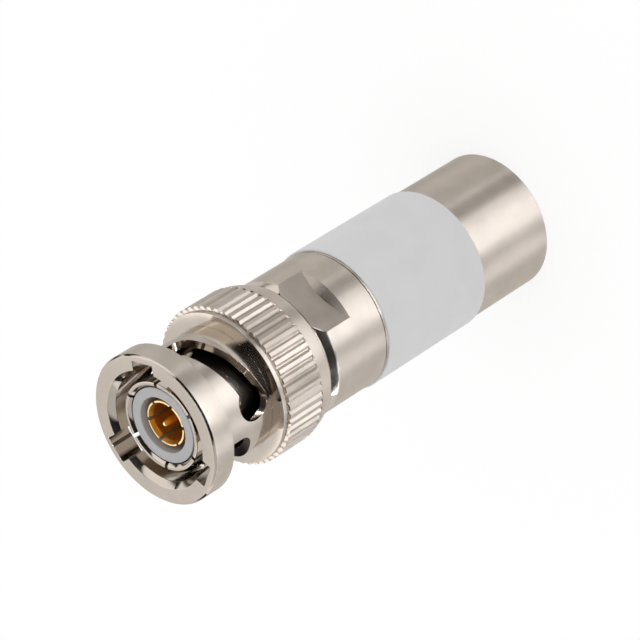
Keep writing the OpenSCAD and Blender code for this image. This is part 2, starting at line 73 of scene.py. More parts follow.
scene = bpy.context.scene
camera_data = bpy.data.cameras.new("camera")
camera_data.sensor_width = sensor_mm
camera_data.lens = lens_px / picture_px * sensor_mm
camera_data.clip_start = nearest_seen
camera = bpy.data.objects.new("camera", camera_data)
camera.matrix_world = Matrix.Translation(-(seen_axes @ foot_from_lens)) @ camera_axes.to_4x4()
scene.collection.objects.link(camera)
scene.camera = camera


# Floor and room
# A pale floor under a dim room. The lens and every gloss see the floor as white with the shadow of
# the terminator on it, and other light meets it as a matt surface.
floor_size = 4
floor_shade = 0.8
shadow_share = 0.3
floor_glow = 0.72
room_level = 0.02
tent_level = 0.95


def add(tree, kind, inputs=(), **settings):
    """A node with its settings. The inputs are values or sockets, by name or number."""
    node = tree.nodes.new(kind)
    for name, value in settings.items():
        setattr(node, name, value)
    for name, value in dict(inputs).items():
        if isinstance(value, bpy.types.NodeSocket):
            tree.links.new(value, node.inputs[name])
        else:
            node.inputs[name].default_value = value
    return node


def combine(tree, operation, first, second):
    """Two values made one by a math node."""
    return add(tree, "ShaderNodeMath", {0: first, 1: second}, operation=operation).outputs[0]


def emptied(owner):
    """The node tree of a material or world, with nothing in it yet."""
    owner.use_nodes = True
    owner.node_tree.nodes.clear()
    return owner.node_tree


def grey(level):
    return (level, level, level, 1)


scene.view_settings.view_transform = "Standard"
bpy.ops.object.select_all(action="DESELECT")
bpy.ops.mesh.primitive_plane_add(size=floor_size)
floor = bpy.context.object
floor.name = "floor"
floor_paint = bpy.data.materials.new("floor_paint")
tree = emptied(floor_paint)
path = add(tree, "ShaderNodeLightPath").outputs
seen = combine(tree, "MAXIMUM", path["Is Camera Ray"], path["Is Glossy Ray"])
seen = combine(tree, "MAXIMUM", seen, path["Is Transmission Ray"])
matt = add(tree, "ShaderNodeBsdfDiffuse", {"Color": grey(floor_shade)})
shaded = add(tree, "ShaderNodeBsdfDiffuse", {"Color": grey(shadow_share)})
glow = add(tree, "ShaderNodeEmission", {"Color": grey(1), "Strength": floor_glow})
white = add(tree, "ShaderNodeAddShader", {0: shaded.outputs[0], 1: glow.outputs[0]})
mixed = add(tree, "ShaderNodeMixShader", {0: seen, 1: matt.outputs[0], 2: white.outputs[0]})
add(tree, "ShaderNodeOutputMaterial", {"Surface": mixed.outputs[0]})
floor.data.materials.append(floor_paint)

room = bpy.data.worlds.new("room")
scene.world = room
tree = emptied(room)
path = add(tree, "ShaderNodeLightPath").outputs
dim = add(tree, "ShaderNodeBackground", {"Color": grey(1), "Strength": room_level})
tent = add(tree, "ShaderNodeBackground", {"Color": grey(1), "Strength": tent_level})
white = add(tree, "ShaderNodeBackground", {"Color": grey(1), "Strength": 1})
lit = add(tree, "ShaderNodeMixShader", {0: path["Is Diffuse Ray"], 1: dim.outputs[0], 2: tent.outputs[0]})
mixed = add(tree, "ShaderNodeMixShader", {0: path["Is Camera Ray"], 1: lit.outputs[0], 2: white.outputs[0]})
add(tree, "ShaderNodeOutputWorld", {"Surface": mixed.outputs[0]})


# Lamps
# Soft panels stand round the terminator, with a band of low strips in front of it. Turned metal
# draws each strip out along the barrel, and the gap before the last one makes the dark stripe.
lamp_distance = 0.6
lamp_aim = Vector((0, 0, nut_high.z / 2))
daylight = (0.95, 0.99, 1.07)


def panel(name, from_azimuth, to_azimuth, from_elevation, to_elevation, brightness, tint=(1, 1, 1)):
    """A soft panel that faces the terminator. Azimuth 0 is the camera's side, and both are in degrees."""
    width = radians(to_azimuth - from_azimuth) * lamp_distance
    height = radians(to_elevation - from_elevation) * lamp_distance
    lamp = bpy.data.lights.new(name, "AREA")
    lamp.shape = "RECTANGLE"
    lamp.color = tint
    lamp.size = width
    lamp.size_y = height
    lamp.energy = brightness * pi * width * height
    turn = radians(from_azimuth + to_azimuth) / 2 - flat_turn
    rise = radians(from_elevation + to_elevation) / 2
    place = Vector((cos(rise) * cos(turn), cos(rise) * sin(turn), sin(rise))) * lamp_distance
    facing = place.to_track_quat("Z", "Y").to_matrix().to_4x4()
    stand = bpy.data.objects.new(name, lamp)
    stand.matrix_world = Matrix.Translation(lamp_aim + place) @ facing
    stand.visible_camera = False
    stand.visible_diffuse = False
    scene.collection.objects.link(stand)


# Each strip: where it starts and ends, its top, and its brightness. All of them stand on the floor.
low_strips = (
    (-104, -78, 2, 14),
    (-78, -70, 2, 28),
    (-70, -52, 4, 24),
    (-52, -40, 4, 17),
    (-40, -35, 4, 19),
    (-35, -30, 4, 30),
    (-30, 4, 4, 52),
    (4, 10, 4, 43),
    (10, 20, 4, 31),
    (20, 25, 4, 8),
    (43, 53, 4, 12.5),
)
for start, end, top, brightness in low_strips:
    panel(f"low_strip_{start}", start, end, 0, top, brightness, daylight)

# Each panel: its name, where it starts and ends, its bottom and top, and its brightness
panels = (
    ("right_panel", 46, 76, 9, 30, 0.4),
    ("right_low_panel", 78, 106, 2, 14, 1.3),
    ("right_upper_panel", 60, 122, 24, 55, 1.3),
    ("back_right_panel", 126, 165, 9, 55, 1.15),
    ("back_panel", 165, 195, 9, 60, 0.98),
    ("back_left_panel", 195, 228, 20, 55, 1.1),
    ("left_panel", -132, -62, 18, 50, 0.75),
    ("left_low_panel", -132, -104, 0, 18, 1.2),
    ("top_panel", -22, 22, 68, 112, 2.4),
)
for row in panels:
    panel(*row)


# Rear shell
# The tube that covers the load: turned from brass bar, nickel plated, and pushed onto the spigot of
# the body. Its edges are only just broken, so they show as fine bright lines.
crease = radians(26)


def turned(name, outline, sides, closed=True):
    """A piece turned on a lathe. The outline is its half section in (radius, height) corners, in mm."""
    bpy.ops.object.select_all(action="DESELECT")
    radius, height = outline[0]
    bpy.ops.mesh.primitive_circle_add(vertices=sides, radius=radius * mm, location=(0, 0, height * mm))
    bpy.ops.object.mode_set(mode="EDIT")
    bpy.ops.mesh.select_mode(type="VERT")
    bpy.ops.mesh.select_all(action="SELECT")
    for next_radius, next_height in outline[1:]:
        rise = (0, 0, (next_height - height) * mm)
        bpy.ops.mesh.extrude_region_move(TRANSFORM_OT_translate={"value": rise})
        growth = next_radius / radius
        bpy.ops.transform.resize(value=(growth, growth, 1), center_override=(0, 0, 0))
        radius, height = next_radius, next_height
    bpy.ops.mesh.select_all(action="DESELECT")
    bpy.ops.mesh.select_non_manifold()
    if closed:
        bpy.ops.mesh.bridge_edge_loops()
    else:
        bpy.ops.mesh.fill_holes(sides=0)
    bpy.ops.mesh.select_all(action="SELECT")
    bpy.ops.mesh.normals_make_consistent(inside=False)
    bpy.ops.object.mode_set(mode="OBJECT")
    bpy.ops.object.transform_apply(location=True, rotation=True, scale=True)
    piece = bpy.context.object
    piece.name = name
    bpy.ops.object.shade_smooth_by_angle(angle=crease)
    return piece


def eased(corners, steps=4):
    """The outline with an arc at each (radius, height, easing) corner that has an easing."""
    outline = []
    for i, (radius, height, *easing) in enumerate(corners):
        here = Vector((radius, height))
        if not easing:
            outline.append((radius, height))
            continue
        back = (Vector(corners[i - 1][:2]) - here).normalized()
        on = (Vector(corners[(i + 1) % len(corners)][:2]) - here).normalized()
        half = back.angle(on) / 2
        centre = here + (back + on).normalized() * easing[0] / sin(half)
        start = here + back * easing[0] / tan(half) - centre
        sweep = start.angle_signed(here + on * easing[0] / tan(half) - centre)
        for step in range(steps + 1):
            point = centre + Matrix.Rotation(-sweep * step / steps, 2) @ start
            outline.append((point.x, point.y))
    return outline


def socket(group, name, way, value=None):
    """A named input or output of a node group."""
    made = group.interface.new_socket(name=name, in_out=way, socket_type="NodeSocketFloat")
    if value is not None:
        made.default_value = value


def remap(tree, value, low, high, at_low=0, at_high=1):
    """A value that runs from at_low to at_high while the given one runs from low to high."""
    ends = {"Value": value, "From Min": low, "From Max": high, "To Min": at_low, "To Max": at_high}
    return add(tree, "ShaderNodeMapRange", ends).outputs[0]


def mottled(tree, cloud, at_low, at_high):
    """A value that follows a broad noise, whose own values lie mostly between these two."""
    cloud_low = 0.3
    cloud_high = 0.7
    return remap(tree, cloud, cloud_low, cloud_high, at_low, at_high)


def place_in_mm(tree):
    """The place on a piece in millimetres, so that each pattern has its real size."""
    place = add(tree, "ShaderNodeTexCoord").outputs["Object"]
    return add(tree, "ShaderNodeVectorMath", {0: place, "Scale": 1 / mm}, operation="SCALE").outputs[0]


def lathe_marks():
    """Fine rings about the axis, which run along a barrel and across a face alike. With them come a
    mask for the outer barrel, the place in the half section, and how far the surface lies flat."""
    uneven_between = (0.35, 0.65)
    facing_out = (0.5, 0.6)
    upright_rise = (0.48, 0.44)
    group = bpy.data.node_groups.new("lathe_marks", "ShaderNodeTree")
    socket(group, "Rings per mm", "INPUT", 8)
    socket(group, "Unevenness", "INPUT", 0.5)
    for name in ("Height", "Shade", "Barrel", "Radius", "Level", "Rise"):
        socket(group, name, "OUTPUT")
    given = add(group, "NodeGroupInput").outputs
    place = place_in_mm(group)
    axes = add(group, "ShaderNodeSeparateXYZ", {0: place}).outputs
    flat = add(group, "ShaderNodeCombineXYZ", {0: axes[0], 1: axes[1]}).outputs[0]
    radius = add(group, "ShaderNodeVectorMath", {0: flat}, operation="LENGTH").outputs["Value"]
    section = add(group, "ShaderNodeCombineXYZ", {0: radius, 1: axes[2]}).outputs[0]
    rings = {"Vector": section, "Scale": given["Rings per mm"], "Detail": 2}
    fine = add(group, "ShaderNodeTexNoise", rings, noise_dimensions="2D").outputs["Fac"]
    cloud = {"Vector": place, "Scale": 0.5, "Detail": 3}
    broad = add(group, "ShaderNodeTexNoise", cloud).outputs["Fac"]
    weight = remap(group, broad, *uneven_between, given["Unevenness"], 1)
    centred = combine(group, "SUBTRACT", fine, 0.5)
    height = combine(group, "MULTIPLY", centred, weight)

    outward = add(group, "ShaderNodeVectorMath", {0: flat}, operation="NORMALIZE").outputs[0]
    normal = add(group, "ShaderNodeNewGeometry").outputs["Normal"]
    normal = add(group, "ShaderNodeVectorTransform", {0: normal}, vector_type="NORMAL",
                 convert_from="WORLD", convert_to="OBJECT").outputs[0]
    facing = add(group, "ShaderNodeVectorMath", {0: outward, 1: normal}, operation="DOT_PRODUCT")
    outside = remap(group, facing.outputs["Value"], *facing_out)
    rise = add(group, "ShaderNodeSeparateXYZ", {0: normal}).outputs[2]
    rise = add(group, "ShaderNodeMath", {0: rise}, operation="ABSOLUTE").outputs[0]
    upright = remap(group, rise, *upright_rise)
    barrel = combine(group, "MULTIPLY", outside, upright)
    add(group, "NodeGroupOutput", {"Height": height, "Shade": broad, "Barrel": barrel, "Radius": radius,
                                   "Level": axes[2], "Rise": rise})
    return group


marks = lathe_marks()
ring_depth = 4e-7
edge_round = 0.03 * mm
dull_swing = 0.03
tarnish_shades = (1.03, 0.96)
# Painted shade: the tone darkens in crevices, joints and knurl roots, within this reach of another surface.
crevice_shade_reach = 0.12 * mm
crevice_shade_open = (0.2, 0.9)
crevice_shade_darkest = 0.6
milled_roughness = 0.24
# Painted shade on the walls in the milled part.
milled_wall_rise = (0.1, 0.16)
milled_wall_shade = 0.8
face_rise = (0.5, 0.8)
specular_tint = 0.8


def turned_metal(name, colour, roughness=0.42, spread=1, polish=0.1, painted_face_highlight=None, crisp_from=99,
                 milled_below=0, polished_corner=(0, 0)):
    """Plated metal off the lathe. The rings on a barrel spread each light out along the axis, and
    faces, bores and cuts are smoother. Where painted_face_highlight is given, faces that lie across the
    axis take that paler tone as a painted highlight.
    Below milled_below a mill has left them dull, and inside the (radius, height) of polished_corner
    a barrel is bright too. Edges further out than crisp_from stay as modelled, and painted shade
    darkens the crevices and the walls in the milled part."""
    material = bpy.data.materials.new(name)
    tree = emptied(material)
    seen = add(tree, "ShaderNodeGroup", node_tree=marks).outputs

    rounded = add(tree, "ShaderNodeBevel", {"Radius": edge_round}, samples=6).outputs[0]
    crisp = add(tree, "ShaderNodeNewGeometry").outputs["Normal"]
    outside = combine(tree, "GREATER_THAN", seen["Radius"], crisp_from)
    normal = add(tree, "ShaderNodeMix", {"Factor": outside, 4: rounded, 5: crisp},
                 data_type="VECTOR").outputs[1]
    bump = add(tree, "ShaderNodeBump", {"Height": seen["Height"], "Distance": ring_depth,
                                        "Normal": normal}).outputs[0]

    corner_r, corner_z = polished_corner
    beyond = combine(tree, "GREATER_THAN", seen["Radius"], corner_r)
    above = combine(tree, "GREATER_THAN", seen["Level"], corner_z)
    unpolished = combine(tree, "MAXIMUM", beyond, above)
    barrel = combine(tree, "MULTIPLY", seen["Barrel"], unpolished)
    milled = combine(tree, "LESS_THAN", seen["Level"], milled_below)
    smooth = remap(tree, milled, 0, 1, polish, milled_roughness)
    dull = mottled(tree, seen["Shade"], roughness - dull_swing, roughness + dull_swing)
    dull = add(tree, "ShaderNodeMix", {"Factor": barrel, 2: smooth, 3: dull}, data_type="FLOAT").outputs[0]

    tarnish = mottled(tree, seen["Shade"], *tarnish_shades)
    # Painted shade: ambient occlusion darkens the tone where nearby surfaces close in.
    open_share = add(tree, "ShaderNodeAmbientOcclusion", {"Distance": crevice_shade_reach}, samples=6).outputs["AO"]
    painted_crevice_shade = remap(tree, open_share, *crevice_shade_open, crevice_shade_darkest, 1)
    # Painted shade: faces that lean across the axis in the milled part are darkened.
    walled = combine(tree, "MULTIPLY", remap(tree, seen["Rise"], *milled_wall_rise), milled)
    wall_shade = remap(tree, walled, 0, 1, 1, milled_wall_shade)
    shade = combine(tree, "MULTIPLY", tarnish, painted_crevice_shade)
    shade = combine(tree, "MULTIPLY", shade, wall_shade)
    faces = remap(tree, seen["Rise"], *face_rise)
    # Painted highlight: faces that lie across the axis take the paler face tone.
    tone = add(tree, "ShaderNodeMix", {"Factor": faces, 4: colour, 5: painted_face_highlight or colour},
               data_type="VECTOR").outputs[1]
    tone = add(tree, "ShaderNodeVectorMath", {0: tone, "Scale": shade}, operation="SCALE").outputs[0]

    around = add(tree, "ShaderNodeTangent", direction_type="RADIAL", axis="Z").outputs[0]
    metal = add(tree, "ShaderNodeBsdfPrincipled", {
        "Base Color": tone, "Metallic": 1, "Roughness": dull, "Specular Tint": grey(specular_tint),
        "Anisotropic": spread, "Anisotropic Rotation": 0.25, "Tangent": around, "Normal": bump})
    add(tree, "ShaderNodeOutputMaterial", {"Surface": metal.outputs[0]})
    return material


def finish_piece(piece, material, body, node):
    """Gives a piece its material and body, and puts it in the place of its CAD node. Large faces
    keep their own normals, and the eased edges take up the bend."""
    bpy.ops.object.select_all(action="DESELECT")
    piece.select_set(True)
    bpy.context.view_layer.objects.active = piece
    even = piece.modifiers.new("even", "WEIGHTED_NORMAL")
    even.keep_sharp = True
    bpy.ops.object.modifier_apply(modifier=even.name)
    piece.data.materials.clear()
    piece.data.materials.append(material)
    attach(piece, body)
    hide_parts(node)


nickel_tone = (0.537, 0.475, 0.412)
barrel_r = 6.38
shell_bore_r = 5.5
shell_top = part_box("rear_shell")[1].z / mm
shell_rear_edge = 0.08
shell_front_edge = 0.04
barrel_sides = 256
shell = turned("shell", eased([
    (shell_bore_r, 0),
    (barrel_r, 0, shell_rear_edge),
    (barrel_r, shell_top, shell_front_edge),
    (shell_bore_r, shell_top),
]), barrel_sides)
finish_piece(shell, turned_metal("shell_nickel", nickel_tone), "plug", "rear_shell")

# End cap
# A disc of the same nickel-plated brass. It is pressed into the rear of the shell and faced off
# flush, so that the terminator stands on both.
cap_r = 5.48
cap_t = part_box("end_cap")[1].z / mm
cap_edge = 0.06
cap_middle_r = 0.5
cap = turned("cap", eased([
    (cap_middle_r, 0),
    (cap_r, 0, cap_edge),
    (cap_r, cap_t),
    (cap_middle_r, cap_t),
]), barrel_sides, closed=False)
finish_piece(cap, turned_metal("cap_nickel", nickel_tone), "plug", "end_cap")

# Label
# White vinyl film, wrapped once round the shell with its ends just short of each other on the far
# side. It is satin smooth and held by its own adhesive.
label_low, label_high = (corner.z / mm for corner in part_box("label"))
label_r = barrel_r + 0.01
label_t = 0.17
label_edge = 0.04
label_edge_steps = 2
label = turned("wrap", eased([
    (label_r, label_low),
    (label_r + label_t, label_low, label_edge),
    (label_r + label_t, label_high, label_edge),
    (label_r, label_high),
], label_edge_steps), barrel_sides)


def cut_away(piece, cutter):
    """Takes the cutter's shape off the piece, and the cutter is gone."""
    bpy.ops.object.select_all(action="DESELECT")
    piece.select_set(True)
    bpy.context.view_layer.objects.active = piece
    cut = piece.modifiers.new("cut", "BOOLEAN")
    cut.object = cutter
    cut.solver = "EXACT"
    bpy.ops.object.modifier_apply(modifier=cut.name)
    bpy.data.objects.remove(cutter)
    bpy.ops.object.shade_smooth_by_angle(angle=crease)


def block(low, high, turn=0):
    """A box between two corners in mm, turned about the axis."""
    bpy.ops.object.select_all(action="DESELECT")
    bpy.ops.mesh.primitive_cube_add(size=1)
    made = bpy.context.object
    size = Vector(high) - Vector(low)
    middle = (Vector(high) + Vector(low)) / 2
    made.data.transform(
        Matrix.Rotation(turn, 4, "Z")
        @ Matrix.Translation(middle * mm)
        @ Matrix.Diagonal(size * mm).to_4x4())
    return made


cut_clear = 1
seam_w = 0.3
seam_angle = radians(158)
seam_cutter = block(
    (label_r - cut_clear, -seam_w / 2, label_low - cut_clear),
    (label_r + cut_clear, seam_w / 2, label_high + cut_clear),
    seam_angle)
cut_away(label, seam_cutter)

vinyl_grain = 2e-6
vinyl_tone = (0.7, 0.725)
vinyl_roughness = 0.5
vinyl_gloss = 0.15
vinyl = bpy.data.materials.new("label_vinyl")
tree = emptied(vinyl)
place = place_in_mm(tree)
grain = add(tree, "ShaderNodeTexNoise", {"Vector": place, "Scale": 9, "Detail": 4}).outputs["Fac"]
lie = add(tree, "ShaderNodeTexNoise", {"Vector": place, "Scale": 0.35, "Detail": 2}).outputs["Fac"]
raised = add(tree, "ShaderNodeBump", {"Height": grain, "Distance": vinyl_grain}).outputs[0]
tone = mottled(tree, lie, *vinyl_tone)
paint = add(tree, "ShaderNodeCombineXYZ", {0: tone, 1: tone, 2: tone}).outputs[0]
film = add(tree, "ShaderNodeBsdfPrincipled", {
    "Base Color": paint, "Roughness": vinyl_roughness, "Specular IOR Level": vinyl_gloss, "Normal": raised})
add(tree, "ShaderNodeOutputMaterial", {"Surface": film.outputs[0]})
finish_piece(label, vinyl, "plug", "label")

# Body
# Turned from brass bar and nickel plated, with a taper at its front and a fine joint where the shell
# meets it. Two wrench flats are milled across the front, each with a short slope at its end.
body_low, body_high = (corner.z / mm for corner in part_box("plug_body"))
spigot_r = 5.48
seat_r = 4.22
seat_z = body_high - 4
pocket_r = 3.2
pocket_bottom = seat_z - 1
load_bore_r = 3.86
taper_len = 1.1
taper_in = 0.63
taper_edge = 0.05
joint_depth = 0.25
joint_gap = 0.06
joint_edge = 0.03
joint_r = barrel_r - joint_depth
joint_top = shell_top + joint_gap
body = turned("body", eased([
    (load_bore_r, body_low),
    (spigot_r, body_low),
    (spigot_r, shell_top),
    (joint_r, shell_top),
    (joint_r, joint_top),
    (barrel_r, joint_top, joint_edge),
    (barrel_r, body_high - taper_len, taper_edge),
    (barrel_r - taper_in, body_high, taper_edge),
    (seat_r, body_high),
    (seat_r, seat_z),
    (pocket_r, seat_z),
    (pocket_r, pocket_bottom),
    (load_bore_r, pocket_bottom),
]), barrel_sides)

flat_x = 5.66
flats_len = 4
flat_bottom = body_high - flats_len
flat_slope_len = 0.63
flat_slope = (barrel_r - flat_x) / flat_slope_len
flat_cut_out = 8
flat_cut_half_w = 7
flat_cut_below = 0.3
for side in (0, pi):
    cutter = block(
        (flat_x, -flat_cut_half_w, flat_bottom - flat_cut_below),
        (flat_cut_out, flat_cut_half_w, body_high + cut_clear),
        side)
    bpy.ops.object.select_all(action="DESELECT")
    bpy.ops.mesh.primitive_cone_add(
        vertices=barrel_sides, depth=2 * mm,
        radius1=(barrel_r + flat_slope) * mm, radius2=(barrel_r - flat_slope) * mm)
    slope = bpy.context.object
    slope.data.transform(Matrix.Translation((0, 0, flat_bottom * mm)))
    cut_away(cutter, slope)
    cut_away(body, cutter)
body_nickel = turned_metal("body_nickel", nickel_tone, polish=0.08, crisp_from=barrel_r - 0.1,
                           milled_below=body_high - flats_len / 2)
finish_piece(body, body_nickel, "plug", "plug_body")


# Outer contact
# Turned from one piece of brass with its flange and rear sleeve, sawn into six springy tines at the
# front, and nickel plated. Its wall is polished, so it mirrors the dark inside of the nut.
contact_sides = 192
tines = 6
saw_clear = 0.3


def saw(piece, width, from_r, to_r, bottom, top, turn):
    """Saws evenly spaced slots into the front of a sleeve, which leave it in tines."""
    for i in range(tines):
        cutter = block((from_r, -width / 2, bottom), (to_r, width / 2, top), turn + 2 * pi * i / tines)
        cut_away(piece, cutter)


contact_low, contact_high = (corner.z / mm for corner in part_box("outer_contact"))
flange_low = 30.96
flange_high = 31.66
flange_edge_r = 4.75
sleeve_r = 4.2
gasket_seat_r = 4.25
gasket_t = 0.8
collet_r = 4.05
collet_bore_r = 3.5
collet_lead = 0.24
collet_slot_len = 4.8
collet_slot_w = 0.32
collet_turn = radians(30.5)
head_bore_r = 3.75
insulator_bore_r = 3.44
tine_root_len = 0.6
tine_root = contact_high - collet_slot_len - tine_root_len
head_top = 31.0
fine_edge = 0.05
tip_edge = 0.08
lead_edge = 0.1
contact = turned("contact", eased([
    (head_bore_r, contact_low),
    (sleeve_r, contact_low, fine_edge),
    (sleeve_r, flange_low),
    (flange_edge_r, flange_low, fine_edge),
    (flange_edge_r, flange_high, fine_edge),
    (gasket_seat_r, flange_high),
    (gasket_seat_r, flange_high + gasket_t, fine_edge),
    (collet_r, flange_high + gasket_t),
    (collet_r, contact_high, tip_edge),
    (collet_bore_r + collet_lead, contact_high, fine_edge),
    (collet_bore_r, contact_high - collet_lead, lead_edge),
    (collet_bore_r, tine_root),
    (insulator_bore_r, tine_root),
    (insulator_bore_r, head_top),
    (head_bore_r, head_top),
]), contact_sides)
saw(contact, collet_slot_w, collet_bore_r - saw_clear, collet_r + saw_clear,
    contact_high - collet_slot_len, contact_high + cut_clear, collet_turn)
contact_nickel = turned_metal("contact_nickel", nickel_tone, roughness=0.15, spread=0.3, polish=0.12)
finish_piece(contact, contact_nickel, "plug", "outer_contact")

# Gasket
# A soft red-brown silicone ring, moulded with rounded edges. It sits in front of the flange, and the
# shell of the jack presses on it.
gasket_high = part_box("gasket")[1].z / mm
gasket_r = 4.7
gasket_bore_r = gasket_seat_r + 0.02
gasket_rear_edge = 0.15
gasket_front_edge = 0.2
gasket_bore_edge = 0.1
ring_sides = 128
gasket = turned("ring_gasket", eased([
    (gasket_bore_r, flange_high),
    (gasket_r, flange_high, gasket_rear_edge),
    (gasket_r, gasket_high, gasket_front_edge),
    (gasket_bore_r, gasket_high, gasket_bore_edge),
]), ring_sides)


def moulded(name, colour, roughness):
    """A moulded plastic or rubber with a slight mottle and a fine skin."""
    mottle = 0.06
    skin_depth = 1.5e-6
    material = bpy.data.materials.new(name)
    tree = emptied(material)
    place = place_in_mm(tree)
    skin = add(tree, "ShaderNodeTexNoise", {"Vector": place, "Scale": 12, "Detail": 3}).outputs["Fac"]
    cloud = add(tree, "ShaderNodeTexNoise", {"Vector": place, "Scale": 0.8, "Detail": 2}).outputs["Fac"]
    tint = mottled(tree, cloud, 1 - mottle, 1 + mottle)
    tone = add(tree, "ShaderNodeVectorMath", {0: colour, "Scale": tint}, operation="SCALE").outputs[0]
    bump = add(tree, "ShaderNodeBump", {"Height": skin, "Distance": skin_depth}).outputs[0]
    plastic = add(tree, "ShaderNodeBsdfPrincipled", {"Base Color": tone, "Roughness": roughness,
                                                     "Normal": bump})
    add(tree, "ShaderNodeOutputMaterial", {"Surface": plastic.outputs[0]})
    return material


silicone_tone = (0.16, 0.03, 0.015)
silicone = moulded("gasket_silicone", silicone_tone, roughness=0.5)
finish_piece(gasket, silicone, "plug", "gasket")

# Outer insulator
# White fluoropolymer, turned to fit the outer contact, with a relief round the middle contact. It is
# slightly milky and waxy, and the lathe left faint rings on its face.
insulator_low, insulator_high = (corner.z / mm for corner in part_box("outer_insulator"))
insulator_r = 3.42
head_r = 3.73
head_len = 4
insulator_edge = 0.07
relief_r = 2.5
relief_low = 35.11
relief_edge = 0.12
middle_gap_r = 2.09
middle_seat_r = 2.57
middle_seat_high = insulator_low + 2
insulator = turned("insulator", eased([
    (middle_seat_r, insulator_low),
    (head_r, insulator_low, fine_edge),
    (head_r, insulator_low + head_len),
    (insulator_r, insulator_low + head_len),
    (insulator_r, insulator_high, insulator_edge),
    (relief_r, insulator_high, relief_edge),
    (relief_r, relief_low),
    (middle_gap_r, relief_low),
    (middle_gap_r, middle_seat_high),
    (middle_seat_r, middle_seat_high),
]), contact_sides)

milky_tone = (0.432, 0.428, 0.432)
milky_tint = (0.97, 1.02)
milky_rings = 6
milky_ring_depth = 2e-6
milky = bpy.data.materials.new("insulator_white")
tree = emptied(milky)
rings_seen = add(tree, "ShaderNodeGroup", node_tree=marks)
rings_seen.inputs["Rings per mm"].default_value = milky_rings
raised = add(tree, "ShaderNodeBump", {"Height": rings_seen.outputs["Height"],
                                      "Distance": milky_ring_depth}).outputs[0]
tint = mottled(tree, rings_seen.outputs["Shade"], *milky_tint)
tone = add(tree, "ShaderNodeVectorMath", {0: milky_tone, "Scale": tint}, operation="SCALE").outputs[0]
waxy = add(tree, "ShaderNodeBsdfPrincipled", {
    "Base Color": tone, "Roughness": 0.38, "IOR": 1.38, "Normal": raised,
    "Subsurface Weight": 0.15, "Subsurface Scale": 0.4 * mm})
add(tree, "ShaderNodeOutputMaterial", {"Surface": waxy.outputs[0]})
finish_piece(insulator, milky, "plug", "outer_insulator")

# Intermediate contact
# A beryllium copper tube sawn into six tines, with a lead-in at their tips and a flange that the
# insulator holds. It is gold plated inside and out, and its faces take a paler painted highlight.
middle_low, middle_high = (corner.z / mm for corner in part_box("intermediate_contact"))
middle_r = 2.07
middle_bore_r = 1.75
middle_lead = 0.15
middle_lead_len = 3 * middle_lead
middle_tip_edge = 0.07
middle_lead_edge = 0.02
middle_flange_r = 2.55
middle_slot_len = 7
middle_slot_w = 0.3
middle_turn = radians(4.7)
middle = turned("middle", eased([
    (middle_bore_r, middle_low),
    (middle_r, middle_low, fine_edge),
    (middle_r, insulator_low),
    (middle_flange_r, insulator_low, fine_edge),
    (middle_flange_r, middle_seat_high, fine_edge),
    (middle_r, middle_seat_high),
    (middle_r, middle_high, middle_tip_edge),
    (middle_bore_r + middle_lead, middle_high, middle_lead_edge),
    (middle_bore_r, middle_high - middle_lead_len, fine_edge),
]), contact_sides)
saw(middle, middle_slot_w, middle_bore_r - saw_clear, middle_r + saw_clear,
    middle_high - middle_slot_len, middle_high + cut_clear, middle_turn)
gold_tone = (0.97, 0.54, 0.11)
# Painted highlight: a paler gold laid on the faces in place of a bright reflection.
painted_highlight_gold = (1, 0.8, 0.46)
gold = turned_metal("contact_gold", gold_tone, roughness=0.3, spread=0.4, polish=0.4,
                    painted_face_highlight=painted_highlight_gold)
finish_piece(middle, gold, "plug", "intermediate_contact")

# Inner insulator
# A disc of the same white fluoropolymer deep inside the middle contact. It centres the pin, and a
# counterbore at its back takes the pin's shoulder.
disc_low, disc_high = (corner.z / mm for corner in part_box("inner_insulator"))
disc_r = 1.73
disc_bore_r = 0.55
disc_front_edge = 0.08
shoulder_seat_r = 0.64
shoulder_z = disc_high - 1
disc = turned("disc", eased([
    (shoulder_seat_r, disc_low),
    (disc_r, disc_low, fine_edge),
    (disc_r, disc_high, disc_front_edge),
    (disc_bore_r, disc_high, fine_edge),
    (disc_bore_r, shoulder_z),
    (shoulder_seat_r, shoulder_z),
]), ring_sides)
finish_piece(disc, milky, "plug", "inner_insulator")

# Centre pin
# Turned from copper alloy and gold plated, with a short taper and a rounded tip. A shoulder stops it
# in the inner insulator, and a cup at its back takes the resistor's lead.
pin_low, pin_high = (corner.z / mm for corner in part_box("center_pin"))
pin_r = 0.35
pin_tip_r = 0.23
pin_taper = 0.35
pin_barrel_r = 0.62
pin_neck_r = 0.53
pin_middle_r = 0.02
pin_sides = 64
cup_r = 0.32
cup_depth = 2.5
ball_z = pin_high - pin_tip_r
ball_steps = 6
ball_angles = [pi / 2 * i / ball_steps for i in range(ball_steps)]
ball = [(pin_tip_r * cos(a), ball_z + pin_tip_r * sin(a)) for a in ball_angles]
pin = turned("pin", [
    (pin_middle_r, pin_low + cup_depth),
    (cup_r, pin_low + cup_depth),
    (cup_r, pin_low),
    (pin_barrel_r, pin_low),
    (pin_barrel_r, shoulder_z),
    (pin_neck_r, shoulder_z),
    (pin_neck_r, disc_high),
    (pin_r, disc_high),
    (pin_r, ball_z - pin_taper),
] + ball + [(pin_middle_r, pin_high)], pin_sides, closed=False)
# The pin's faces and the top of its tip take the same painted highlight.
pin_gold = turned_metal("pin_gold", gold_tone, roughness=0.36, spread=0.2, polish=0.3,
                        painted_face_highlight=painted_highlight_gold)
finish_piece(pin, pin_gold, "plug", "center_pin")
